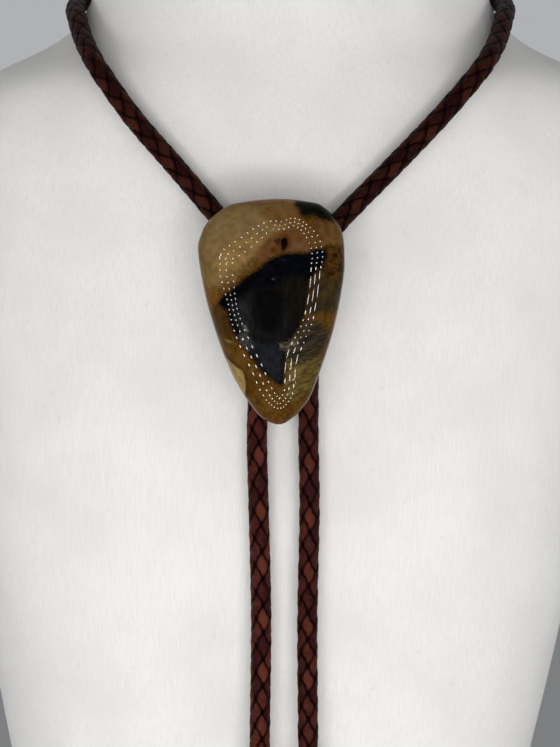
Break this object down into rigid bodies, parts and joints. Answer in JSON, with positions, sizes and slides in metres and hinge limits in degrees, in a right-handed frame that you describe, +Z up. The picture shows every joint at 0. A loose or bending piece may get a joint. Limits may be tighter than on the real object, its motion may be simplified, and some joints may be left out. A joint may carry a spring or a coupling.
{
  "type": "bolo tie on a neck bust",
  "caption": "Braided leather bolo tie with a domed polished stone slide, worn by a plain white neck bust with a flat base.",
  "frame": {"origin": "middle of the bust's flat base", "axes": "+Z up through the neck, -Y the way the bust and the stone face, +X to the right seen from the front"},
  "size_m": [0.2059, 0.1357, 0.29],
  "materials": {
    "leatherette": "satin",
    "polished_stone": "polished",
    "nickel": "satin",
    "braided_leather": "satin"
  },
  "bodies": {
    "root": {"neck_bust": "leatherette", "stone": "polished_stone", "slide_clasp": "nickel", "cord": "braided_leather", "tip_left": "nickel", "tip_right": "nickel"}
  },
  "joints": []
}
